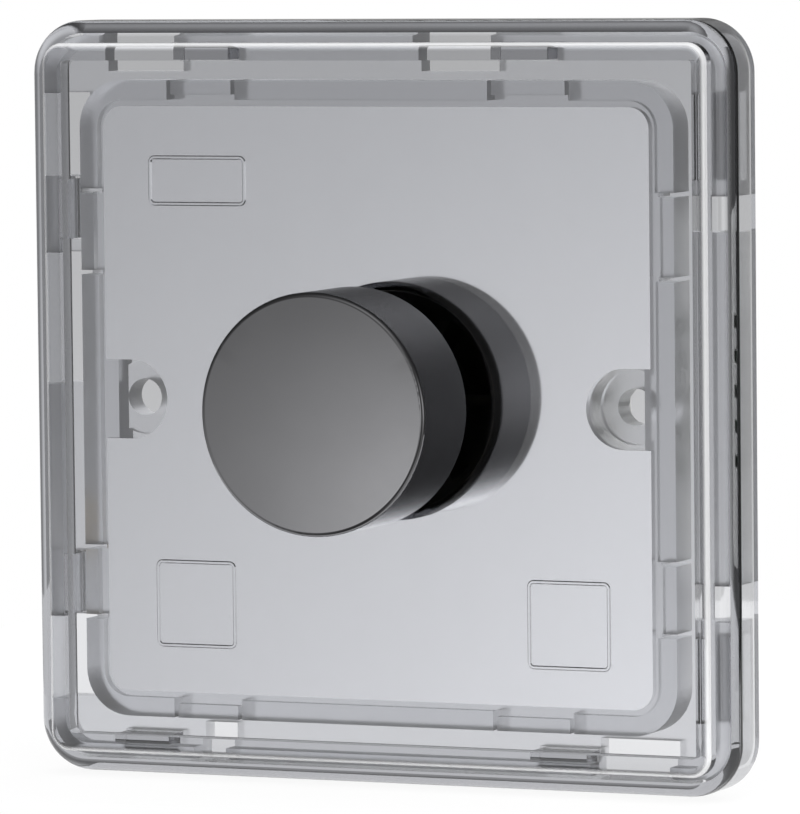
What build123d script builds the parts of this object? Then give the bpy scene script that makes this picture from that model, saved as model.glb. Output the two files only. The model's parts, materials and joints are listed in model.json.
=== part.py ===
"""Rotary dimmer switch with a push knob on a clear screwless wall plate.

Each piece is drawn as if the plate lay on its back: X runs to the right, Y up the plate and Z
out of the wall towards the user. The finished pieces are then stood upright, so that the front
faces -Y, the wall is the plane Y = 0 and the knob's axis passes through the origin.
"""
import os
from math import cos, radians, sqrt

from build123d import *

# Cover: a stepped clear shell
plate_side = 86.0
plate_corner = 6.0
rim_height = 7.0
rim_rounding = 1.8
rim_width = 2.5
face_corner = 2.4
face_height = 9.2
face_rounding = 0.9
cover_wall = 2.0
skirt_wall = 1.6
skirt_foot = 0.2
cover_hole_radius = 10.0

# Snap tongues of the cover
tongue_thickness = 1.0
tongue_foot = 0.6
barb_reach = 0.6
barb_height = 1.3
barb_play = 0.15

# Base frame
skirt_fit = 0.25
base_wall = 1.4
base_wall_clearance = 0.2
flange_thickness = 2.4
ring_wall = 2.2
ring_clearance = 0.2
seat_width = 1.8
slot_play = 0.2
notch_depth = 4.0
ring_slit = 0.5
finger_recess = 0.6
screw_spacing = 60.3
screw_hole_radius = 2.1
screw_boss_radius = 4.2
screw_boss_height = 3.4

# Polished panel
panel_margin = 9.65
panel_corner = 2.4
panel_thickness = 1.0
panel_air = 0.25
panel_fit = 0.7
panel_notch_radius = 4.5
peg_radius = 1.2
peg_place = 9.2
peg_play = 0.1
emboss_height = 0.12
emboss_line = 0.45
emboss_corner = 0.8
emboss_slope = 45.0

# Module case and lid
case_corner = 2.5
case_wall = 1.6
case_front_wall = 1.8
rear_room = 7.8
case_fit = 0.3
shoulder_width = 3.0
shoulder_thickness = 1.2
lid_thickness = 1.6
lid_edge = 0.7
lip_height = 1.4
lip_wall = 1.2
lip_length = 14.0
lip_fit = 0.15
vent_width = 1.5
vent_pitch = 4.0
vent_count = 5
vent_margin = 3.2
pillar_radius = 2.5
pillar_inset = 2.9
lid_screw_radius = 1.1
lid_screw_length = 9.0
lid_head_radius = 2.1
lid_head_height = 0.9
lid_head_play = 0.2

# Control: bush, spindle and push switch
bush_radius = 5.0
bush_gap = 0.3
bush_flange_thickness = 1.2
bush_hole_play = 0.1
bush_lead_in = 0.5
washer_radius = 8.0
washer_thickness = 0.6
washer_teeth = 10
washer_slit = 0.8
nut_across_flats = 14.0
nut_thickness = 2.5
nut_chamfer = 0.6
thread_play = 0.05
control_side = 18.0
control_corner = 1.5
control_depth = 11.8
control_wall = 1.2
control_step = 1.1
control_fit = 0.2
rotor_radius = 7.2
rotor_thickness = 2.0
rotor_play = 0.2
wiper_foot = 0.15
wiper_foot_radius = 0.9
wafer_thickness = 1.1
wafer_hole_radius = 3.3
spindle_radius = 3.0
spindle_flat = 1.6
spindle_tail = 0.8
spindle_groove_radius = 2.4
running_fit = 0.05
push_travel = 1.4
retainer_radius = 4.4
retainer_thickness = 0.6
retainer_play = 0.5
retainer_mouth = 4.0
slider_thickness = 2.4
slider_gap = 0.05
spring_wire = 0.5
spring_wire_flats = 8
spring_radius = 3.4
spring_turns = 3
spring_cup_depth = 1.0
pin_radius = 0.5
pin_reach = 1.6

# Knob
knob_radius = 13.5
knob_gap = 3.6
knob_length = 12.1
knob_crown = 0.36
knob_edge = 0.6
knob_wall = 1.1
knob_front_wall = 1.2
insert_fit = 0.02
insert_ring_wall = 1.2
insert_recess = 2.0
insert_disc = 1.4
hub_radius = 5.6
hub_recess = 0.6
rib_thickness = 1.2
rib_count = 6
spindle_top_gap = 0.2
clip_thickness = 0.3
clip_width = 4.0
clip_length = 8.0

# Board and its components
board_fit = 0.3
component_gap = 0.6
board_corner = 1.0
board_thickness = 1.6
board_pillar_play = 0.4
lead_radius = 0.4
lead_reach = 1.5
lead_play = 0.15
sink_thickness = 1.5
sink_width = 25.0
sink_height = 12.0
sink_gap = 0.3
sink_corner = 1.5
triac_width = 8.0
triac_height = 10.6
triac_thickness = 2.7
triac_edge = 0.5
triac_stand = 1.4
triac_pitch = 2.3
triac_hole_drop = 3.4
triac_screw_radius = 1.5
triac_head_radius = 2.7
triac_head_height = 1.8
choke_radius = 5.2
choke_post_radius = 2.2
choke_flange = 1.4
choke_height = 11.0
winding_play = 0.05
winding_recess = 0.5
capacitor_width = 17.0
capacitor_depth = 6.0
capacitor_height = 11.0
capacitor_edge = 0.6
capacitor_pitch = 12.5
fuse_radius = 4.2
fuse_height = 8.0
fuse_drop = 3.5
fuse_pitch = 5.0
fuse_edge = 0.5

# Terminals
way_count = 3
way_pitch = 8.0
block_depth = 9.4
block_margin = 0.1
block_height = 8.8
block_wall = 1.2
block_edge = 0.6
block_play = 0.15
clamp_width = 6.0
clamp_length = 7.0
clamp_height = 6.2
clamp_play = 0.1
wire_hole_radius = 1.8
wire_entry_radius = 2.1
wire_hole_depth = 2.2
terminal_screw_radius = 1.5
terminal_head_radius = 2.1
terminal_head_height = 1.4
terminal_access_radius = 2.4
screw_tip_gap = 0.1
screw_slot_width = 0.6
screw_slot_depth = 0.6
earth_gap = 1.2
earth_drop = 16.0
earth_side = 6.0
earth_projection = 7.0
earth_hole_radius = 1.6
earth_hole_depth = 3.2
earth_screw_radius = 1.4
earth_head_radius = 2.4
earth_head_height = 1.6
earth_window_play = 0.5

# Cutting tools reach past the faces that they open
past = 1.0

# Snap tongues and release notches: side, place along the side, width
notch_inset = 13.0
notch_width = 9.5
long_notch = 15.0
slim_notch = 4.0
tongue_width = 6.8
wide_tongue = 9.4
pair_pitch = 8.5
middle_notch = 9.0
far = plate_side / 2 - notch_inset
tongues = [
    ("top", pair_pitch - far, tongue_width), ("top", middle_notch + pair_pitch, tongue_width),
    ("bottom", -far, tongue_width), ("bottom", far - pair_pitch, tongue_width),
    ("left", far - pair_pitch, tongue_width), ("left", pair_pitch - far, tongue_width),
    ("right", far, wide_tongue), ("right", -far, wide_tongue),
]
notches = [
    ("top", -far, notch_width), ("top", middle_notch, notch_width),
    ("bottom", pair_pitch - far, slim_notch), ("bottom", far, notch_width),
    ("left", far, notch_width), ("left", middle_notch, long_notch), ("left", -far, notch_width),
    ("right", far - pair_pitch, slim_notch), ("right", pair_pitch - far, slim_notch),
]

# Springy fingers of the clip ring on every side: place along the side, width
finger_inset = 9.0
finger_width = 8.0
wide_finger_inset = 10.95
wide_finger = 9.3
fingers = [(finger_inset - far, finger_width), (far - wide_finger_inset, wide_finger)]

# Plain raised frames on the panel: centre across, centre up, width, height
emboss_frames = [(-21.6, 24.9, 12.2, 5.7), (-22.3, -23.2, 10.0, 10.0), (23.4, -24.2, 10.0, 10.0)]

# Heights above the wall, worked out from the sizes
cover_inside = face_height - cover_wall
rim_inside = rim_height - cover_wall
panel_front = cover_inside - panel_air
panel_back = panel_front - panel_thickness
base_wall_top = rim_inside - base_wall_clearance
ring_top = cover_inside - ring_clearance
case_ceiling = panel_back - case_front_wall
control_top = case_ceiling - bush_flange_thickness
control_bottom = control_top - control_depth
control_floor = control_bottom + control_wall
rotor_top = control_top - rotor_play
rotor_bottom = rotor_top - rotor_thickness
wafer_top = rotor_bottom - rotor_play
wafer_bottom = wafer_top - wafer_thickness
retainer_top = wafer_bottom - retainer_play
retainer_bottom = retainer_top - retainer_thickness
spindle_end = retainer_bottom - spindle_tail
slider_top = spindle_end - slider_gap
slider_bottom = slider_top - slider_thickness
board_top = control_bottom
board_bottom = board_top - board_thickness
case_rear = board_bottom - rear_room
lid_rear = case_rear - lid_thickness
washer_top = panel_front + washer_thickness
nut_top = washer_top + nut_thickness
knob_base = face_height + knob_gap
knob_front = knob_base + knob_length
knob_ceiling = knob_front - knob_front_wall
hub_end = knob_base + hub_recess
bush_top = hub_end - push_travel - bush_gap
spindle_top = knob_ceiling - insert_disc - spindle_top_gap

# Widths that fit one piece into another
face_side = plate_side - 2 * rim_width
panel_side = plate_side - 2 * panel_margin
skirt_inside = plate_side - 2 * skirt_wall
skirt_inside_corner = plate_corner - skirt_wall
face_inside = face_side - 2 * cover_wall
face_inside_corner = face_corner - cover_wall
base_side = skirt_inside - 2 * skirt_fit
base_corner = skirt_inside_corner - skirt_fit
base_inside = base_side - 2 * base_wall
base_inside_corner = base_corner - base_wall
tongue_outer = base_inside / 2 - slot_play
tongue_inner = tongue_outer - tongue_thickness
ring_inside = panel_side + 2 * panel_fit
ring_inside_corner = panel_corner + panel_fit
ring_side = ring_inside + 2 * ring_wall
ring_corner = ring_inside_corner + ring_wall
seat_inside = ring_inside - 2 * seat_width
seat_corner = ring_inside_corner - seat_width
component_room = (choke_radius + component_gap) * (1 + 1 / sqrt(2))
case_inside = control_side + 2 * component_room
case_side = case_inside + 2 * case_wall
shoulder_side = case_side + 2 * shoulder_width
board_side = case_inside - 2 * board_fit
case_inside_corner = case_corner - case_wall
control_inside = control_side - 2 * control_wall
slider_room = control_inside - 2 * control_step
insert_radius = knob_radius - knob_wall - insert_fit
pillar_place = case_inside / 2 - pillar_inset
lid_screw_places = [(-pillar_place, pillar_place), (pillar_place, -pillar_place)]
way_places = [(i - (way_count - 1) / 2) * way_pitch for i in range(way_count)]
block_width = way_count * way_pitch
block_low = block_margin - case_side / 2
block_rear = board_bottom - block_height
clamp_low = block_low + block_wall
clamp_rear = board_bottom - (block_height + clamp_height) / 2
wire_hole_height = clamp_rear + clamp_height - wire_hole_depth - wire_hole_radius / 2
sink_face = sink_gap + sink_thickness - case_inside / 2
sink_middle = pillar_place - pillar_radius - component_gap - sink_width / 2
choke_place = case_inside / 2 - component_gap - choke_radius
capacitor_x = pillar_radius + component_gap + capacitor_width / 2 - pillar_place
capacitor_y = (control_side + component_room) / 2
fuse_x = (control_side + component_room) / 2
fuse_y = -fuse_drop
earth_place = shoulder_side / 2 + earth_gap + earth_side / 2
triac_foot = board_top + triac_stand
triac_hole_height = triac_foot + triac_height - triac_hole_drop
lead_end = board_bottom - lead_reach
triac_leads = [(sink_face + triac_thickness / 2, i * triac_pitch) for i in (-1, 0, 1)]
capacitor_leads = [(capacitor_x + s * capacitor_pitch / 2, capacitor_y) for s in (-1, 1)]
fuse_leads = [(fuse_x, fuse_y + s * fuse_pitch / 2) for s in (-1, 1)]
pin_places = [(-5.0, -6.0), (0.0, -6.0), (5.0, -6.0), (-4.0, 6.0), (4.0, 6.0)]

side_turns = {"top": (0, 1), "left": (90, 1), "bottom": (180, -1), "right": (270, -1)}


def slab(width, corner, bottom, top):
    """A square block with rounded corners between two heights."""
    return Pos(0, 0, bottom) * extrude(RectangleRounded(width, width, corner), top - bottom)


def rod(radius, bottom, top, x=0.0, y=0.0):
    """An upright cylinder between two heights."""
    return Pos(x, y, (bottom + top) / 2) * Cylinder(radius, top - bottom)


def brick(x_span, y_span, z_span):
    """A box between three pairs of limits."""
    spans = (x_span, y_span, z_span)
    middle = [(low + high) / 2 for low, high in spans]
    size = [high - low for low, high in spans]
    return Pos(*middle) * Box(*size)


def on_side(side, place, piece):
    """Carry a piece drawn at the middle of the top side to a place along another side."""
    angle, direction = side_turns[side]
    return Rot(0, 0, angle) * Pos(direction * place, 0, 0) * piece


def d_shape(radius, flat):
    """A disc cut by a flat on its upper side."""
    trim = Pos(0, flat + radius) * Rectangle(2 * radius, 2 * radius)
    return Circle(radius) - trim


def d_rod(radius, flat, bottom, top):
    return Pos(0, 0, bottom) * extrude(d_shape(radius, flat), top - bottom)


def group(pieces):
    """Several like pieces that share one name."""
    return Compound(pieces)


# Cover, base and panel
def make_tongue(width):
    """A snap tongue under the rim of the top side, with a barb near its foot."""
    catch = tongue_foot + barb_height
    outline = Polygon(
        (tongue_inner, rim_inside + cover_wall / 2),
        (tongue_inner, tongue_foot),
        (tongue_outer, tongue_foot),
        (tongue_outer + barb_reach, catch),
        (tongue_outer, catch),
        (tongue_outer, rim_inside + cover_wall / 2),
        align=None,
    )
    return extrude(Plane.YZ * outline, width / 2, both=True)


def make_cover_plate():
    rim = slab(plate_side, plate_corner, skirt_foot, rim_height)
    rim = fillet(rim.edges().group_by(Axis.Z)[-1], rim_rounding)
    face = slab(face_side, face_corner, rim_inside, face_height)
    face = fillet(face.edges().group_by(Axis.Z)[-1], face_rounding)
    cover = rim + face
    cover -= slab(skirt_inside, skirt_inside_corner, skirt_foot - past, rim_inside)
    cover -= slab(face_inside, face_inside_corner, rim_inside - past, cover_inside)
    cover -= rod(cover_hole_radius, rim_inside, face_height + past)
    for side, place, width in tongues:
        cover += on_side(side, place, make_tongue(width))
    return cover


def make_tongue_slot(width):
    """The slot in the base for a tongue, with a pocket in the wall for its barb."""
    half = width / 2 + slot_play
    catch = tongue_foot + barb_height + barb_play
    slot_span = (tongue_inner - slot_play, base_inside / 2)
    slot = brick((-half, half), slot_span, (-past, base_wall_top + past))
    barb_room = (base_inside / 2 - slot_play, tongue_outer + barb_reach + slot_play)
    pocket = brick((-half, half), barb_room, (-past, catch))
    return slot + pocket


def make_release_notch(width):
    """A gap in the base's wall, through its flange, for a blade that frees the cover."""
    reach = (base_side / 2 - notch_depth, base_side / 2 + past)
    return brick((-width / 2, width / 2), reach, (-past, base_wall_top + past))


def make_ring_finger(width):
    """The cuts that free a springy finger of the clip ring: a slit at each end and a thinner wall."""
    through = (ring_inside / 2, ring_side / 2 + past)
    slit = brick((-ring_slit / 2, ring_slit / 2), through, (flange_thickness, ring_top + past))
    recess = (ring_inside / 2 - past / 2, ring_inside / 2 + finger_recess)
    cuts = brick((-width / 2, width / 2), recess, (panel_back, ring_top + past))
    for end in (-1, 1):
        cuts += Pos(end * width / 2, 0, 0) * slit
    return cuts


def make_base_frame():
    base = slab(base_side, base_corner, 0, base_wall_top)
    base -= slab(base_inside, base_inside_corner, flange_thickness, base_wall_top + past)
    ring = slab(ring_side, ring_corner, 0, ring_top)
    ring -= slab(ring_inside, ring_inside_corner, panel_back, ring_top + past)
    ring -= slab(seat_inside, seat_corner, flange_thickness, panel_back)
    base += ring
    for side in (-1, 1):
        base += rod(screw_boss_radius, 0, screw_boss_height, side * screw_spacing / 2)
    base -= slab(case_side + 2 * case_fit, case_corner + case_fit, -past, flange_thickness + past)
    base -= slab(shoulder_side + 2 * case_fit, case_corner + case_fit, -past, shoulder_thickness)
    for side in (-1, 1):
        base -= rod(screw_hole_radius, -past, screw_boss_height + past, side * screw_spacing / 2)
    window = earth_side + 2 * earth_window_play
    base -= Pos(-earth_place, -earth_drop, 0) * Box(window, window, 2 * panel_back)
    for side, place, width in tongues:
        base -= on_side(side, place, make_tongue_slot(width))
    for side, place, width in notches:
        base -= on_side(side, place, make_release_notch(width))
    for side in side_turns:
        for place, width in fingers:
            base -= on_side(side, place, make_ring_finger(width))
    return base


def make_backing_plate():
    panel = slab(panel_side, panel_corner, panel_back, panel_front)
    for x, y, width, height in emboss_frames:
        outline = RectangleRounded(width, height, emboss_corner)
        line = outline - offset(outline, -emboss_line)
        panel += Pos(x, y, panel_front) * extrude(line, emboss_height, taper=emboss_slope)
    panel -= rod(bush_radius + bush_hole_play, panel_back - past, panel_front + past)
    panel -= rod(peg_radius + peg_play, panel_back - past, panel_front + past, -peg_place)
    for side in (-1, 1):
        centre = side * screw_spacing / 2
        edge = side * (panel_side / 2 + past)
        panel -= rod(panel_notch_radius, panel_back - past, panel_front + past, centre)
        notch_span = (-panel_notch_radius, panel_notch_radius)
        panel -= brick(sorted((centre, edge)), notch_span, (panel_back - past, panel_front + past))
    return panel


# Module case and lid
def make_vents():
    """A row of slots through the top wall of the case."""
    slot = brick(
        (-vent_width / 2, vent_width / 2),
        (case_inside / 2 - past / 2, case_side / 2 + past),
        (case_rear + vent_margin, -vent_margin),
    )
    return [Pos((i - (vent_count - 1) / 2) * vent_pitch, 0, 0) * slot for i in range(vent_count)]


def make_module_case():
    case = slab(case_side, case_corner, case_rear, panel_back)
    case += slab(shoulder_side, case_corner, 0, shoulder_thickness)
    case -= slab(case_inside, case_inside_corner, case_rear - past, case_ceiling)
    for x, y in lid_screw_places:
        case += rod(pillar_radius, case_rear, case_ceiling, x, y)
        case -= rod(lid_screw_radius, case_rear - past, case_rear + lid_screw_length, x, y)
    case -= rod(bush_radius + bush_hole_play, case_ceiling - past, panel_back + past)
    case += rod(peg_radius, panel_back, panel_front - peg_play, -peg_place)
    mouth = block_width / 2 + block_play
    through = (-case_side / 2 - past, past / 2 - case_inside / 2)
    case -= brick((-mouth, mouth), through, (case_rear - past, board_bottom))
    for side in ("top", "left", "right"):
        for vent in make_vents():
            case -= on_side(side, 0, vent)
    return case


def make_module_lid():
    lid = slab(case_side, case_corner, lid_rear, case_rear)
    lid = fillet(lid.edges().group_by(Axis.Z)[0], lid_edge)
    edge = case_inside / 2 - lip_fit
    lip_span = (case_rear, case_rear + lip_height)
    lip = brick((-lip_length / 2, lip_length / 2), (edge - lip_wall, edge), lip_span)
    for side in ("top", "left", "right"):
        lid += on_side(side, 0, lip)
    for x, y in lid_screw_places:
        lid -= rod(lid_screw_radius + lid_head_play, lid_rear - past, case_rear + past, x, y)
        lid -= rod(lid_head_radius + lid_head_play, lid_rear - past, lid_rear + lid_head_height, x, y)
    mouth = block_width / 2 + block_play
    top = block_low + block_depth + block_play
    lid -= brick((-mouth, mouth), (-case_side / 2 - past, top), (lid_rear - past, case_rear + past))
    return lid


def make_slotted_screw(shank_radius, head_radius, head_height, length):
    """A screw that points up, with its head below height zero and a slot across it."""
    screw = rod(shank_radius, 0, length) + rod(head_radius, -head_height, 0)
    slot_top = screw_slot_depth - head_height
    slot = brick(
        (-head_radius - past, head_radius + past),
        (-screw_slot_width / 2, screw_slot_width / 2),
        (-head_height - past, slot_top),
    )
    return screw - slot


def make_lid_screws():
    shank = lid_screw_radius - thread_play
    reach = lid_screw_length - lid_head_height
    screw = make_slotted_screw(shank, lid_head_radius, lid_head_height, reach)
    return group([Pos(x, y, lid_rear + lid_head_height) * screw for x, y in lid_screw_places])


# Bush, nut and washer
def make_bush():
    bush = slab(control_side, control_corner, control_top, case_ceiling)
    thread = rod(bush_radius, case_ceiling, bush_top)
    bush += chamfer(thread.edges().group_by(Axis.Z)[-1], bush_lead_in)
    return bush - rod(spindle_radius + running_fit, control_top - past, bush_top + past)


def make_bush_nut():
    corner_radius = nut_across_flats / 2 / cos(radians(30))
    nut = Pos(0, 0, washer_top) * extrude(RegularPolygon(corner_radius, 6), nut_thickness)
    crown = rod(corner_radius, washer_top, nut_top)
    crown = chamfer(crown.edges().group_by(Axis.Z)[-1], nut_chamfer)
    nut = nut & crown
    return nut - rod(bush_radius + thread_play, washer_top - past, nut_top + past)


def make_lock_washer():
    hole = bush_radius + thread_play
    washer = rod(washer_radius, panel_front, washer_top)
    washer -= rod(hole, panel_front - past, washer_top + past)
    slit = brick(
        (hole - past, (hole + washer_radius) / 2),
        (-washer_slit / 2, washer_slit / 2),
        (panel_front - past, washer_top + past),
    )
    for i in range(washer_teeth):
        washer -= Rot(0, 0, 360 * i / washer_teeth) * slit
    return washer


# Control: housing, rotor, track, slider and spring
def make_control_housing():
    housing = slab(control_side, control_corner, control_bottom, control_top)
    housing -= slab(control_inside, control_corner / 2, wafer_bottom, control_top + past)
    return housing - slab(slider_room, control_corner / 2, control_floor, wafer_bottom + past)


def make_track_wafer():
    wafer = slab(control_inside - control_fit, control_corner / 2, wafer_bottom, wafer_top)
    return wafer - rod(wafer_hole_radius, wafer_bottom - past, wafer_top + past)


def make_wiper_rotor():
    rotor = rod(rotor_radius, rotor_bottom, rotor_top)
    for side in (-1, 1):
        place = side * (spindle_radius + rotor_radius) / 2
        rotor += rod(wiper_foot_radius, rotor_bottom - wiper_foot, rotor_bottom, place)
    hole_radius = spindle_radius + running_fit
    hole_flat = spindle_flat + running_fit
    return rotor - d_rod(hole_radius, hole_flat, rotor_bottom - past, rotor_top + past)


def make_push_slider():
    slider = slab(slider_room - 2 * control_fit, control_corner / 2, slider_bottom, slider_top)
    cup = spring_radius + spring_wire + control_fit
    return slider - rod(cup, slider_bottom - past, slider_bottom + spring_cup_depth)


def make_push_spring():
    """A helical compression spring between the housing's floor and the slider's cup.

    The wire's section has flats, so that the fine wire needs few facets.
    """
    foot = control_floor + spring_wire / 2
    head = slider_bottom + spring_cup_depth - spring_wire / 2
    height = head - foot
    path = Pos(0, 0, foot) * Helix(height / spring_turns, height, spring_radius)
    wire = RegularPolygon(spring_wire / 2, spring_wire_flats)
    return sweep(Plane(origin=path @ 0, z_dir=path % 0) * wire, path)


def make_control_pins():
    pin = rod(pin_radius, board_bottom - pin_reach, control_bottom)
    return group([Pos(x, y, 0) * pin for x, y in pin_places])


def make_spindle():
    spindle = rod(spindle_radius, spindle_end, spindle_top)
    rear_flat_end = rotor_top + push_travel + running_fit
    across = (-spindle_radius, spindle_radius)
    above = (spindle_flat, spindle_radius + past)
    rear_trim = brick(across, above, (spindle_end - past, rear_flat_end))
    front_trim = brick(across, above, (hub_end, spindle_top + past))
    groove = rod(spindle_radius + past, retainer_bottom - running_fit, retainer_top + running_fit)
    groove -= rod(spindle_groove_radius, retainer_bottom - past, retainer_top + past)
    return spindle - rear_trim - front_trim - groove


def make_spindle_clip():
    """A retaining ring, open on its lower side, that sits in the spindle's groove."""
    ring = rod(retainer_radius, retainer_bottom, retainer_top)
    ring -= rod(spindle_groove_radius + running_fit, retainer_bottom - past, retainer_top + past)
    half = retainer_mouth / 2
    mouth_span = (retainer_bottom - past, retainer_top + past)
    return ring - brick((-half, half), (-retainer_radius - past, 0), mouth_span)


# Knob
def make_knob_shell():
    """A turned cup, whose front is slightly crowned."""
    corner = (knob_radius, knob_front - knob_crown)
    inside = knob_radius - knob_wall
    front = TangentArc((0, knob_front), corner, tangent=(1, 0))
    outer_wall = Polyline(corner, (knob_radius, knob_base), (inside, knob_base))
    inner_wall = Polyline((inside, knob_base), (inside, knob_ceiling), (0, knob_ceiling), (0, knob_front))
    section = make_face(front + outer_wall + inner_wall)
    section = fillet(section.vertices().group_by(Axis.Y)[-2], knob_edge)
    return revolve(Plane.XZ * section, Axis.Z)


def make_knob_insert():
    """The liner of the cup: an outer ring and a disc, tied by ribs to a hub with a flat-sided bore."""
    rear = knob_base + insert_recess
    insert = rod(insert_radius, rear, knob_ceiling)
    insert -= rod(insert_radius - insert_ring_wall, rear - past, knob_ceiling - insert_disc)
    insert += rod(hub_radius, hub_end, knob_ceiling)
    rib_reach = (0, insert_radius - insert_ring_wall / 2)
    rib = brick(rib_reach, (-rib_thickness / 2, rib_thickness / 2), (rear + past, knob_ceiling))
    for i in range(rib_count):
        insert += Rot(0, 0, 360 * i / rib_count) * rib
    bore_radius = spindle_radius + running_fit
    bore_flat = spindle_flat + running_fit
    insert -= d_rod(bore_radius, bore_flat, hub_end - past, spindle_top + spindle_top_gap)
    return insert - make_clip_slot(running_fit)


def make_clip_slot(play):
    """The room of the leaf spring on the flat of the spindle, larger all round by a play."""
    low = spindle_flat + running_fit
    middle = (hub_end + spindle_top) / 2
    half_width = clip_width / 2 + play
    half_length = clip_length / 2 + play
    thickness = (low - play, low + clip_thickness + play)
    return brick((-half_width, half_width), thickness, (middle - half_length, middle + half_length))


def make_knob_clip():
    return make_clip_slot(0)


# Board and its components
def make_circuit_board():
    board = slab(board_side, board_corner, board_bottom, board_top)
    for x, y in lid_screw_places:
        board -= rod(pillar_radius + board_pillar_play, board_bottom - past, board_top + past, x, y)
        beyond = [sorted((place, 2 * place)) for place in (x, y)]
        board -= brick(beyond[0], beyond[1], (board_bottom - past, board_top + past))
    for x, y in triac_leads + capacitor_leads + fuse_leads:
        board -= rod(lead_radius + lead_play, board_bottom - past, board_top + past, x, y)
    for x, y in pin_places:
        board -= rod(pin_radius + lead_play, board_bottom - past, board_top + past, x, y)
    return board


def make_heat_sink():
    plate = Plane.YZ * extrude(RectangleRounded(sink_width, sink_height, sink_corner), sink_thickness)
    plate = Pos(sink_face - sink_thickness, sink_middle, board_top + sink_height / 2) * plate
    hole = Plane.YZ * Cylinder(triac_screw_radius, 2 * sink_thickness + past)
    return plate - Pos(sink_face - sink_thickness / 2, 0, triac_hole_height) * hole


def make_triac():
    body = brick(
        (sink_face, sink_face + triac_thickness),
        (-triac_width / 2, triac_width / 2),
        (triac_foot, triac_foot + triac_height),
    )
    body = chamfer(body.edges().filter_by(Axis.Z).group_by(Axis.X)[-1], triac_edge)
    hole = Plane.YZ * Cylinder(triac_screw_radius + thread_play, 2 * triac_thickness + past)
    body -= Pos(sink_face + triac_thickness / 2, 0, triac_hole_height) * hole
    for x, y in triac_leads:
        body += rod(lead_radius, lead_end, triac_foot, x, y)
    return body


def make_triac_screw():
    length = triac_thickness + sink_thickness
    shank = triac_screw_radius - thread_play
    screw = make_slotted_screw(shank, triac_head_radius, triac_head_height, length)
    return Pos(sink_face + triac_thickness, 0, triac_hole_height) * Rot(0, -90, 0) * screw


def make_choke_core():
    core = rod(choke_post_radius, board_top, board_top + choke_height)
    core += rod(choke_radius, board_top, board_top + choke_flange)
    core += rod(choke_radius, board_top + choke_height - choke_flange, board_top + choke_height)
    return Pos(choke_place, choke_place, 0) * core


def make_choke_winding():
    bottom = board_top + choke_flange + winding_play
    top = board_top + choke_height - choke_flange - winding_play
    winding = rod(choke_radius - winding_recess, bottom, top)
    winding -= rod(choke_post_radius + winding_play, bottom - past, top + past)
    return Pos(choke_place, choke_place, 0) * winding


def make_capacitor():
    body = brick(
        (-capacitor_width / 2, capacitor_width / 2),
        (-capacitor_depth / 2, capacitor_depth / 2),
        (board_top, board_top + capacitor_height),
    )
    body = fillet(body.edges().group_by(Axis.Z)[-1] + body.edges().filter_by(Axis.Z), capacitor_edge)
    body = Pos(capacitor_x, capacitor_y, 0) * body
    for x, y in capacitor_leads:
        body += rod(lead_radius, lead_end, board_top, x, y)
    return body


def make_fuse():
    body = rod(fuse_radius, board_top, board_top + fuse_height, fuse_x, fuse_y)
    body = fillet(body.edges().group_by(Axis.Z)[-1], fuse_edge)
    for x, y in fuse_leads:
        body += rod(lead_radius, lead_end, board_top, x, y)
    return body


# Terminals
def make_terminal_block():
    across = (-block_width / 2, block_width / 2)
    block = brick(across, (block_low, block_low + block_depth), (block_rear, board_bottom))
    block = chamfer(block.edges().filter_by(Axis.X).group_by(Axis.Z)[0], block_edge)
    for x in way_places:
        half = clamp_width / 2 + clamp_play
        y_span = (clamp_low - clamp_play, clamp_low + clamp_length + clamp_play)
        block -= brick((x - half, x + half), y_span, (clamp_rear, board_bottom + past))
        middle = clamp_low + clamp_length / 2
        block -= rod(terminal_access_radius, block_rear - past, clamp_rear + past, x, middle)
        entry = Plane.XZ * Cylinder(wire_entry_radius, 2 * block_wall + past)
        block -= Pos(x, block_low, wire_hole_height) * entry
    return block


def make_terminal_clamps():
    clamps = []
    for x in way_places:
        y_span = (clamp_low, clamp_low + clamp_length)
        x_span = (x - clamp_width / 2, x + clamp_width / 2)
        clamp = brick(x_span, y_span, (clamp_rear, clamp_rear + clamp_height))
        middle = clamp_low + clamp_length / 2
        wire_hole = Plane.XZ * Cylinder(wire_hole_radius, clamp_length + past)
        clamp -= Pos(x, middle, wire_hole_height) * wire_hole
        clamp -= rod(terminal_screw_radius, clamp_rear - past, wire_hole_height, x, middle)
        clamps.append(clamp)
    return group(clamps)


def make_terminal_screws():
    reach = wire_hole_height - wire_hole_radius - screw_tip_gap - clamp_rear
    shank = terminal_screw_radius - thread_play
    screw = make_slotted_screw(shank, terminal_head_radius, terminal_head_height, reach)
    return group([Pos(x, clamp_low + clamp_length / 2, clamp_rear) * screw for x in way_places])


def make_earth_terminal():
    half = earth_side / 2
    post = brick((-half, half), (-half, half), (-earth_projection, panel_back))
    post -= Pos(0, 0, -earth_hole_depth) * (Plane.YZ * Cylinder(earth_hole_radius, earth_side + past))
    post -= rod(earth_screw_radius, -earth_projection - past, -earth_hole_depth)
    return Pos(-earth_place, -earth_drop, 0) * post


def make_earth_screw():
    reach = earth_projection - earth_hole_depth - earth_hole_radius - screw_tip_gap
    shank = earth_screw_radius - thread_play
    screw = make_slotted_screw(shank, earth_head_radius, earth_head_height, reach)
    return Pos(-earth_place, -earth_drop, -earth_projection) * screw


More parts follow.
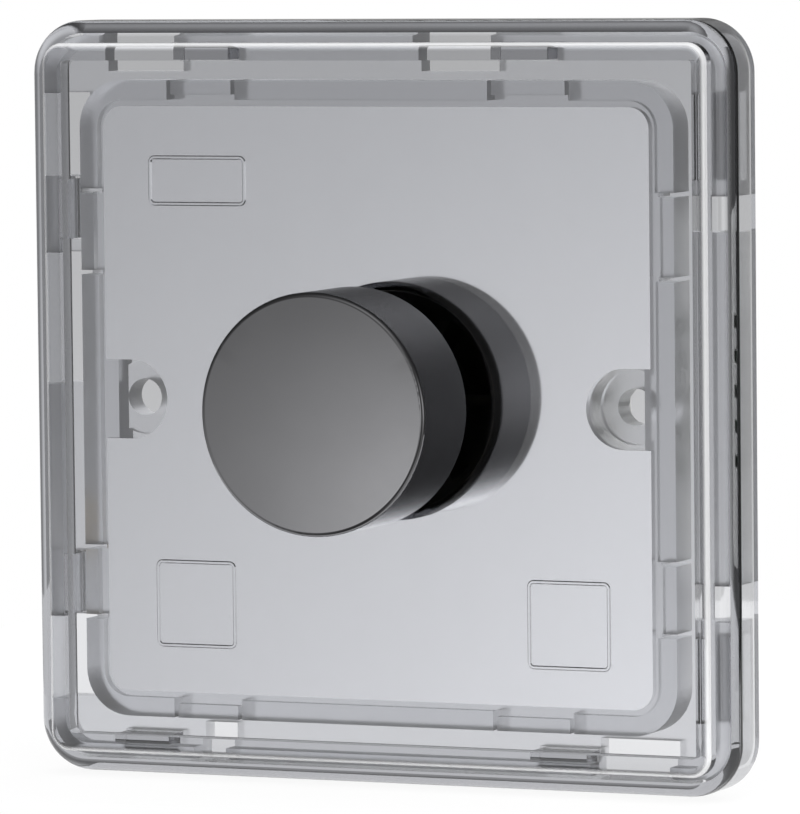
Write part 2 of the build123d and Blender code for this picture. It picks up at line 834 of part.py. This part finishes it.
pieces = {
    "cover_plate": make_cover_plate,
    "base_frame": make_base_frame,
    "backing_plate": make_backing_plate,
    "module_case": make_module_case,
    "module_lid": make_module_lid,
    "lid_screws": make_lid_screws,
    "bush": make_bush,
    "bush_nut": make_bush_nut,
    "lock_washer": make_lock_washer,
    "control_housing": make_control_housing,
    "track_wafer": make_track_wafer,
    "wiper_rotor": make_wiper_rotor,
    "push_slider": make_push_slider,
    "push_spring": make_push_spring,
    "control_pins": make_control_pins,
    "spindle": make_spindle,
    "spindle_clip": make_spindle_clip,
    "knob_shell": make_knob_shell,
    "knob_insert": make_knob_insert,
    "knob_clip": make_knob_clip,
    "circuit_board": make_circuit_board,
    "heat_sink": make_heat_sink,
    "triac": make_triac,
    "triac_screw": make_triac_screw,
    "choke_core": make_choke_core,
    "choke_winding": make_choke_winding,
    "capacitor": make_capacitor,
    "fuse": make_fuse,
    "terminal_block": make_terminal_block,
    "terminal_clamps": make_terminal_clamps,
    "terminal_screws": make_terminal_screws,
    "earth_terminal": make_earth_terminal,
    "earth_screw": make_earth_screw,
}

os.makedirs("parts", exist_ok=True)
for name, make in pieces.items():
    export_step(Plane.XZ * make(), f"parts/{name}.step")
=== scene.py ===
"""Looks of the dimmer switch: clear cover and base, polished panel, black-chrome knob and rear module.

Metres, in the part's own frame: X to the right, Z up, the front faces -Y and the wall is the plane Y = 0.
"""
import json
from math import cos, pi, radians, sin

import bpy
from mathutils import Matrix, Vector

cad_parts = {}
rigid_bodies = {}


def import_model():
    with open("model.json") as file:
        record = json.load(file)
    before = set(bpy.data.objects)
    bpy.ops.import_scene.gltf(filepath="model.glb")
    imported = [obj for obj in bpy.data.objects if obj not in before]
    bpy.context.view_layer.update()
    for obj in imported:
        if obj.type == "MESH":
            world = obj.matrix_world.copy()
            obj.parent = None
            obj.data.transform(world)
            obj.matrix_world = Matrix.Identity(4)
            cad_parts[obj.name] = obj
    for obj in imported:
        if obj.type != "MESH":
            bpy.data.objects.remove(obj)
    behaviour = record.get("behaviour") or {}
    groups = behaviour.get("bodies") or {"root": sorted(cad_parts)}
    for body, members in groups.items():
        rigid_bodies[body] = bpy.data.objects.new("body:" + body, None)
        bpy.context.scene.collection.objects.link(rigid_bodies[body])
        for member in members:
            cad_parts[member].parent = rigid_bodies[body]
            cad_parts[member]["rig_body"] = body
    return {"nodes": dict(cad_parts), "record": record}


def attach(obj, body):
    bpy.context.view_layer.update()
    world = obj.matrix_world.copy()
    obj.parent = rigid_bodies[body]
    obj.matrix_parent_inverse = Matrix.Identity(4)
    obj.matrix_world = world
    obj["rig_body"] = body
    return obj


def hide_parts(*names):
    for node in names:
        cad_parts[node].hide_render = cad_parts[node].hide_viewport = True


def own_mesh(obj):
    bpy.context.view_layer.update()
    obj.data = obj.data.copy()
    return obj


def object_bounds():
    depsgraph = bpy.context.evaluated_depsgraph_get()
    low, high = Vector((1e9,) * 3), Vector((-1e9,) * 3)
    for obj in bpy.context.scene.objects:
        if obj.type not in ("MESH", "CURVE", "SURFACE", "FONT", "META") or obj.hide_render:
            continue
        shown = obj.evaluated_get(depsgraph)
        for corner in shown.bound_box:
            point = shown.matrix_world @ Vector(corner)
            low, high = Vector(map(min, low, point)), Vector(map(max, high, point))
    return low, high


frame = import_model()
cad_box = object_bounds()

# Camera, fitted to the plate's edges in the photograph
camera_turn = radians(23.79)
camera_rise = radians(4.21)
camera_roll = radians(0.61)
camera_distance = 0.784
camera_lens = 306.7
camera_reach = 20.0
aim_right = -0.00017
aim_up = -0.00086

# Table: how far it reaches from the plate's middle to the front, back, left and right
table_front = 0.03
table_back = 0.2
table_left = 0.12
table_right = 0.15
table_drop = 0.0005
table_glow = 0.93

# Lamps: the direction of each in degrees, turn and rise, its strength and how soft it is
sun_way = (40.0, 50.0)
sun_power = 3.4
sun_spread = radians(80.0)
rear_way = (160.0, 35.0)
rear_power = 1.9
rear_size = 0.5
rear_distance = 0.6

# What mirrors and clear plastic see of the studio: dim all round, and a white panel low behind the plate
studio_level = 0.1
white_panel = {"turn": -156.0, "rise": -22.0, "reach": 14.0, "fade": 16.0}

# Soft patches of light: turn and rise in degrees, fading width, and strength, below 0 for a grey card
patches = {
    "low_front": (-15.0, -13.0, 12.0, 1.75),
    "left_front": (-34.0, -6.0, 18.0, 0.38),
    "straight_ahead": (9.0, 0.0, 12.0, 1.2),
    "high_front": (5.0, 40.0, 22.0, 0.7),
    "right": (65.0, 2.0, 14.0, 1.2),
    "behind": (165.0, -10.0, 25.0, 0.4),
    "high_behind": (-156.0, 26.0, 12.0, 0.5),
    "grey_card_behind": (-156.0, -4.2, 6.0, -0.45),
    "low_left": (-75.0, -28.0, 24.0, 0.9),
    "low_right": (60.0, -45.0, 20.0, 0.7),
}

# Edges of moulded, stamped and turned pieces, softened by this much
moulded_edge = 0.00012
stamped_edge = 0.0001
case_edge = 0.0002
turned_edge = 0.00015
screw_edge = 0.00008
edge_steps = 2

# A node's loose triangles are joined below this gap, and an edge counts as sharp above this angle
join_gap = 2e-6
sharp_angle = radians(35)
smooth_angle = radians(50)

# A painted highlight on the cover's rounded face edge: from this height above the wall to this one, and how
# clear the plastic is left there, so that the band shows as a pale line
face_highlight_span = (0.0082, 0.00916, 0.35)

# The knob's side is shaded with the slight draft of a drawn cup, narrower to the front
knob_draft = (0.0, -0.035, 0.0)

# How strongly each clear plastic bends light: the base bends it less, so its walls stay pale and soft
cover_index = 1.49
base_index = 1.25


def heading(turn, rise):
    """The direction that lies that far to the right of straight ahead of the plate and that far up."""
    turn, rise = radians(turn), radians(rise)
    return Vector((sin(turn) * cos(rise), -cos(turn) * cos(rise), sin(rise)))


# Node helpers
class Sheet:
    """A material's or the world's node sheet, with short ways to add and join nodes."""

    def __init__(self, owner):
        owner.use_nodes = True
        self.nodes = owner.node_tree.nodes
        self.links = owner.node_tree.links
        self.nodes.clear()

    def add(self, kind, **settings):
        node = self.nodes.new(kind)
        for name, value in settings.items():
            setattr(node, name, value)
        return node

    def feed(self, node, socket, value):
        """Joins an output to a socket, or sets the socket to a plain value."""
        if isinstance(value, bpy.types.NodeSocket):
            self.links.new(value, node.inputs[socket])
        else:
            node.inputs[socket].default_value = value

    def maths(self, operation, first, second=0.0):
        node = self.add("ShaderNodeMath", operation=operation)
        self.feed(node, 0, first)
        self.feed(node, 1, second)
        return node.outputs[0]

    def ramp(self, value, low, high, to_low=0.0, to_high=1.0, smooth=False):
        """The value's place between low and high, spread between two other numbers."""
        node = self.add("ShaderNodeMapRange")
        node.interpolation_type = "SMOOTHSTEP" if smooth else "LINEAR"
        for socket, number in enumerate((value, low, high, to_low, to_high)):
            self.feed(node, socket, number)
        return node.outputs[0]

    def noise(self, scale, detail, stretch=(1.0, 1.0, 1.0)):
        """Cloudy noise in object space, with its scale in cycles for each metre."""
        place = self.add("ShaderNodeTexCoord")
        mapping = self.add("ShaderNodeMapping")
        mapping.inputs["Scale"].default_value = stretch
        self.links.new(place.outputs["Object"], mapping.inputs["Vector"])
        cloud = self.add("ShaderNodeTexNoise")
        cloud.inputs["Scale"].default_value = scale
        cloud.inputs["Detail"].default_value = detail
        self.links.new(mapping.outputs["Vector"], cloud.inputs["Vector"])
        return cloud.outputs["Fac"]

    def blend(self, factor, first, second):
        """One colour running into another."""
        node = self.add("ShaderNodeMix", data_type="RGBA")
        self.feed(node, 0, factor)
        self.feed(node, 6, (*first, 1.0))
        self.feed(node, 7, (*second, 1.0))
        return node.outputs[2]

    def bump(self, height, strength, distance, lean=(0.0, 0.0, 0.0)):
        """Fine relief from a height, on a surface that may lean a little, as moulded sides do."""
        node = self.add("ShaderNodeBump")
        node.inputs["Strength"].default_value = strength
        node.inputs["Distance"].default_value = distance
        self.links.new(height, node.inputs["Height"])
        if any(lean):
            facing = self.add("ShaderNodeNewGeometry").outputs["Normal"]
            leaned = self.add("ShaderNodeVectorMath", operation="ADD")
            self.links.new(facing, leaned.inputs[0])
            leaned.inputs[1].default_value = lean
            unit = self.add("ShaderNodeVectorMath", operation="NORMALIZE")
            self.links.new(leaned.outputs[0], unit.inputs[0])
            self.links.new(unit.outputs[0], node.inputs["Normal"])
        return node.outputs["Normal"]

    def transmission_with_highlight(self, low, high, highlight_transmission):
        """Fully clear, apart from a band of heights above the wall that is only partly so, which paints a pale
        highlight line.
        """
        place = self.add("ShaderNodeTexCoord")
        apart = self.add("ShaderNodeSeparateXYZ")
        self.links.new(place.outputs["Object"], apart.inputs[0])
        height = self.maths("MULTIPLY", apart.outputs["Y"], -1.0)
        fade = (high - low) / 4
        above_low = self.ramp(height, low, low + fade)
        below_high = self.ramp(height, high - fade, high, 1.0, 0.0)
        highlight_strip = self.maths("MULTIPLY", above_low, below_high)
        return self.ramp(highlight_strip, 0.0, 1.0, 1.0, highlight_transmission)

    def towards(self, way, turn, rise):
        """How nearly a way points in a direction: 1 straight at it, less further off."""
        dot = self.add("ShaderNodeVectorMath", operation="DOT_PRODUCT")
        self.links.new(way, dot.inputs[0])
        dot.inputs[1].default_value = heading(turn, rise)
        return dot.outputs["Value"]

    def surface(self, **sockets):
        """The main shader on the output node, with each named socket fed by a value or an output."""
        shader = self.add("ShaderNodeBsdfPrincipled")
        for name, value in sockets.items():
            self.feed(shader, name.replace("_", " "), value)
        out = self.add("ShaderNodeOutputMaterial")
        self.links.new(shader.outputs["BSDF"], out.inputs["Surface"])
        return out


def shade(colour, amount):
    """The same colour, lighter or darker by an amount."""
    return tuple(min(1.0, channel * amount) for channel in colour)


# Finishes
def clear_plastic(name, colour, smoke, tint, smooth, hazy, index, painted_highlight=None):
    """Clear plastic: faint flow waves from the mould, a little haze, and a grey that grows with depth.

    The painted highlight is a stretch of heights above the wall in which the rounded edge is made only partly
    clear, so that it shows as a pale line.
    """
    material = bpy.data.materials.new(f"{name}_finish")
    sheet = Sheet(material)
    flow = sheet.noise(scale=90.0, detail=2.0, stretch=(1.0, 1.0, 0.35))
    haze = sheet.noise(scale=700.0, detail=4.0)
    out = sheet.surface(
        Base_Color=sheet.blend(flow, shade(colour, 0.985), colour),
        Roughness=sheet.ramp(haze, 0.3, 0.75, smooth, hazy),
        Normal=sheet.bump(flow, strength=0.02, distance=0.0002),
        # A partly clear band on the face edge: a painted highlight line
        Transmission_Weight=sheet.transmission_with_highlight(*painted_highlight) if painted_highlight else 1.0,
        IOR=index,
    )
    depth = sheet.add("ShaderNodeVolumeAbsorption")
    depth.inputs["Color"].default_value = (*tint, 1.0)
    depth.inputs["Density"].default_value = smoke
    sheet.links.new(depth.outputs[0], out.inputs["Volume"])
    return material


def polished_metal(name, colour):
    """Bright plated sheet: nearly a mirror, with the slow waves of a rolled sheet."""
    material = bpy.data.materials.new(f"{name}_finish")
    sheet = Sheet(material)
    waves = sheet.noise(scale=45.0, detail=2.0)
    film = sheet.noise(scale=900.0, detail=5.0, stretch=(1.0, 1.0, 0.2))
    sheet.surface(
        Base_Color=sheet.blend(film, shade(colour, 0.98), colour),
        Roughness=sheet.ramp(film, 0.25, 0.75, 0.03, 0.05),
        Normal=sheet.bump(waves, strength=0.02, distance=0.0002),
        Metallic=1.0,
    )
    return material


def black_chrome(name, colour):
    """Dark bright plating with a very fine turned grain."""
    material = bpy.data.materials.new(f"{name}_finish")
    sheet = Sheet(material)
    film = sheet.noise(scale=1400.0, detail=5.0)
    cloud = sheet.noise(scale=120.0, detail=3.0)
    sheet.surface(
        Base_Color=sheet.blend(cloud, shade(colour, 0.94), shade(colour, 1.04)),
        Roughness=sheet.ramp(film, 0.3, 0.7, 0.09, 0.13),
        Normal=sheet.bump(film, strength=0.02, distance=0.00005, lean=knob_draft),
        Metallic=1.0,
    )
    return material


def moulded_plastic(name, colour, low=0.38, high=0.55):
    """Moulded plastic with a fine spark-eroded grain."""
    material = bpy.data.materials.new(f"{name}_finish")
    sheet = Sheet(material)
    grain = sheet.noise(scale=2600.0, detail=4.0)
    cloud = sheet.noise(scale=160.0, detail=3.0)
    sheet.surface(
        Base_Color=sheet.blend(cloud, shade(colour, 0.93), shade(colour, 1.04)),
        Roughness=sheet.ramp(grain, 0.3, 0.7, low, high),
        Normal=sheet.bump(grain, strength=0.18, distance=0.00006),
    )
    return material


def bright_metal(name, colour, low=0.2, high=0.36):
    """Plated or machined metal with fine marks along one way and a patchy film."""
    material = bpy.data.materials.new(f"{name}_finish")
    sheet = Sheet(material)
    marks = sheet.noise(scale=2200.0, detail=5.0, stretch=(1.0, 1.0, 0.08))
    film = sheet.noise(scale=260.0, detail=4.0)
    sheet.surface(
        Base_Color=sheet.blend(film, shade(colour, 0.88), shade(colour, 1.04)),
        Roughness=sheet.ramp(marks, 0.3, 0.7, low, high),
        Normal=sheet.bump(marks, strength=0.08, distance=0.00004),
        Metallic=1.0,
    )
    return material


finishes = {
    "clear_plastic": clear_plastic(
        "clear_plastic",
        colour=(0.97, 0.975, 0.985),
        smoke=120.0,
        tint=(0.1, 0.11, 0.16),
        smooth=0.02,
        hazy=0.05,
        index=cover_index,
        # The face edge band is a painted highlight, not an unpolished edge
        painted_highlight=face_highlight_span,
    ),
    "polished_metal": polished_metal("polished_metal", (0.88, 0.88, 0.89)),
    "black_chrome": black_chrome("black_chrome", (0.2, 0.2, 0.207)),
    "black_plastic": moulded_plastic("black_plastic", (0.035, 0.035, 0.038)),
    "case_plastic": moulded_plastic("case_plastic", (0.72, 0.72, 0.7)),
    "block_plastic": moulded_plastic("block_plastic", (0.4, 0.41, 0.42)),
    "control_plastic": moulded_plastic("control_plastic", (0.09, 0.09, 0.1)),
    "brass": bright_metal("brass", (0.78, 0.58, 0.27)),
    "zinc_steel": bright_metal("zinc_steel", (0.66, 0.67, 0.7)),
    "steel": bright_metal("steel", (0.56, 0.56, 0.58), 0.16, 0.28),
    "tinned_pins": bright_metal("tinned_pins", (0.72, 0.71, 0.68)),
    "aluminium": bright_metal("aluminium", (0.76, 0.77, 0.78), 0.28, 0.45),
    "board": moulded_plastic("board", (0.05, 0.2, 0.08), 0.3, 0.42),
    "ferrite": moulded_plastic("ferrite", (0.05, 0.05, 0.055), 0.5, 0.7),
    "copper": bright_metal("copper", (0.75, 0.32, 0.14), 0.22, 0.34),
    "capacitor_case": moulded_plastic("capacitor_case", (0.68, 0.46, 0.05), 0.25, 0.38),
    "fuse_case": moulded_plastic("fuse_case", (0.08, 0.055, 0.045), 0.25, 0.38),
}

smoky_base = clear_plastic(
    "base_plastic",
    colour=(0.92, 0.924, 0.936),
    smoke=58.0,
    tint=(0.1, 0.12, 0.2),
    smooth=0.34,
    hazy=0.44,
    index=base_index,
)


def finish_nodes():
    """Gives every carried-over node the finish of its material slot, and the base its greyer plastic."""
    for row in frame["record"]["subparts"]:
        mesh = frame["nodes"][row["node"]].data
        mesh.materials.clear()
        mesh.materials.append(smoky_base if row["node"] == "base_frame" else finishes[row["material_slot"]])


# Pieces
def soften(node, width):
    """A copy of a node with its loose triangles merged and its sharp edges rounded."""
    bpy.ops.object.select_all(action="DESELECT")
    source = frame["nodes"][node]
    body = source["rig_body"]
    bpy.context.view_layer.objects.active = source
    source.select_set(True)
    bpy.ops.object.duplicate()
    piece = bpy.context.view_layer.objects.active
    for key in list(piece.keys()):
        del piece[key]
    piece.parent = None
    piece.name = f"{node}_piece"
    bpy.ops.object.mode_set(mode="EDIT")
    bpy.ops.mesh.select_all(action="SELECT")
    bpy.ops.mesh.customdata_custom_splitnormals_clear()
    bpy.ops.mesh.remove_doubles(threshold=join_gap)
    bpy.ops.object.mode_set(mode="OBJECT")
    edges = piece.modifiers.new("edges", "BEVEL")
    edges.width = width
    edges.segments = edge_steps
    edges.limit_method = "ANGLE"
    edges.angle_limit = sharp_angle
    edges.use_clamp_overlap = False
    edges.loop_slide = False
    bpy.ops.object.modifier_apply(modifier="edges")
    bpy.ops.object.shade_smooth_by_angle(angle=smooth_angle)
    flats = piece.modifiers.new("flats", "WEIGHTED_NORMAL")
    flats.weight = 100
    flats.keep_sharp = True
    bpy.ops.object.modifier_apply(modifier="flats")
    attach(piece, body)
    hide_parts(node)
    return piece


def make_spring():
    """The return spring, softened, on a mesh of its own; in the switch it shortens with the push towards the
    floor of its housing.
    """
    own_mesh(soften("push_spring", stamped_edge))


# Camera, floor and light
def make_camera():
    """The camera at the photograph's angle, turned about the part's origin."""
    turn = Matrix.Rotation(camera_turn, 4, "Z")
    tilt = Matrix.Rotation(pi / 2 - camera_rise, 4, "X")
    roll = Matrix.Rotation(-camera_roll, 4, "Z")
    axes = turn @ tilt @ roll
    data = bpy.data.cameras.new("camera")
    data.lens = camera_lens
    data.clip_end = camera_reach
    camera = bpy.data.objects.new("camera", data)
    bpy.context.scene.collection.objects.link(camera)
    camera.matrix_world = axes @ Matrix.Translation((aim_right, aim_up, camera_distance))
    bpy.context.scene.camera = camera


def make_floor():
    """A plain white table under the plate's lower edge, which keeps the shadow."""
    bpy.ops.object.select_all(action="DESELECT")
    middle = ((table_right - table_left) / 2, (table_back - table_front) / 2, cad_box[0].z - table_drop)
    bpy.ops.mesh.primitive_plane_add(size=1.0, location=middle)
    floor = bpy.context.object
    floor.name = "floor"
    floor.scale = (table_left + table_right, table_front + table_back, 1.0)
    bpy.ops.object.transform_apply(location=False, rotation=False, scale=True)
    material = bpy.data.materials.new("floor_white")
    sheet = Sheet(material)
    paper = sheet.add("ShaderNodeBsdfDiffuse")
    paper.inputs["Color"].default_value = (1.0, 1.0, 1.0, 1.0)
    glow = sheet.add("ShaderNodeEmission")
    path = sheet.add("ShaderNodeLightPath")
    mix = sheet.add("ShaderNodeMixShader")
    mirrored = sheet.maths("MAXIMUM", path.outputs["Is Glossy Ray"], path.outputs["Is Transmission Ray"])
    seen = sheet.maths("MAXIMUM", path.outputs["Is Camera Ray"], mirrored)
    sheet.feed(mix, 0, sheet.maths("MULTIPLY", seen, table_glow))
    sheet.links.new(paper.outputs[0], mix.inputs[1])
    sheet.links.new(glow.outputs[0], mix.inputs[2])
    out = sheet.add("ShaderNodeOutputMaterial")
    sheet.links.new(mix.outputs[0], out.inputs["Surface"])
    floor.data.materials.append(material)


def add_lamp(name, kind, way, power):
    """A lamp that shines from a direction and isn't mirrored in metal or plastic."""
    data = bpy.data.lights.new(name, kind)
    data.energy = power
    lamp = bpy.data.objects.new(name, data)
    bpy.context.scene.collection.objects.link(lamp)
    lamp.rotation_euler = heading(*way).to_track_quat("Z", "Y").to_euler()
    lamp.visible_glossy = False
    lamp.visible_transmission = False
    return lamp


def make_sun():
    """An even, very soft light on the floor and the dull pieces."""
    add_lamp("sun", "SUN", sun_way, sun_power).data.angle = sun_spread


def make_rear_fill():
    """A large soft lamp that fills the shaded rear."""
    lamp = add_lamp("rear_fill", "AREA", rear_way, rear_power)
    lamp.data.shape = "DISK"
    lamp.data.size = rear_size
    lamp.location = rear_distance * heading(*rear_way)


def make_studio():
    """Studio surroundings: white behind the object, and dim to mirrors apart from soft patches of light."""
    world = bpy.data.worlds.new("studio")
    bpy.context.scene.world = world
    sheet = Sheet(world)
    way = sheet.add("ShaderNodeTexCoord").outputs["Generated"]

    def panel(turn, rise, reach, fade):
        """A white panel around a direction, out to a reach in degrees and fading beyond it."""
        edge, end = cos(radians(reach)), cos(radians(reach + fade))
        return sheet.ramp(sheet.towards(way, turn, rise), end, edge, 0.0, 1.0, smooth=True)

    def patch(turn, rise, width, strength):
        """A soft patch of light around a direction, fading over a width in degrees."""
        off = sheet.maths("SUBTRACT", sheet.towards(way, turn, rise), 1.0)
        fall = sheet.maths("MULTIPLY", off, 2 / radians(width) ** 2)
        return sheet.maths("MULTIPLY", sheet.maths("EXPONENT", fall), strength)

    light = sheet.maths("ADD", panel(**white_panel), studio_level)
    for place in patches.values():
        light = sheet.maths("ADD", light, patch(*place))
    path = sheet.add("ShaderNodeLightPath")
    white = sheet.add("ShaderNodeMix", data_type="FLOAT")
    sheet.feed(white, 0, path.outputs["Is Camera Ray"])
    sheet.feed(white, 2, light)
    sheet.feed(white, 3, 1.0)
    glow = sheet.add("ShaderNodeBackground")
    glow.inputs["Color"].default_value = (1.0, 1.0, 1.0, 1.0)
    sheet.links.new(white.outputs[0], glow.inputs["Strength"])
    out = sheet.add("ShaderNodeOutputWorld")
    sheet.links.new(glow.outputs[0], out.inputs["Surface"])


finish_nodes()
for node, width in (
    ("knob_shell", turned_edge),
    ("module_case", case_edge),
    ("module_lid", case_edge),
    ("terminal_block", moulded_edge),
    ("terminal_clamps", stamped_edge),
    ("earth_terminal", stamped_edge),
    ("lid_screws", screw_edge),
    ("terminal_screws", screw_edge),
    ("earth_screw", screw_edge),
):
    soften(node, width)
make_spring()
make_camera()
make_floor()
make_studio()
make_sun()
make_rear_fill()
bpy.context.scene.view_settings.view_transform = "Standard"
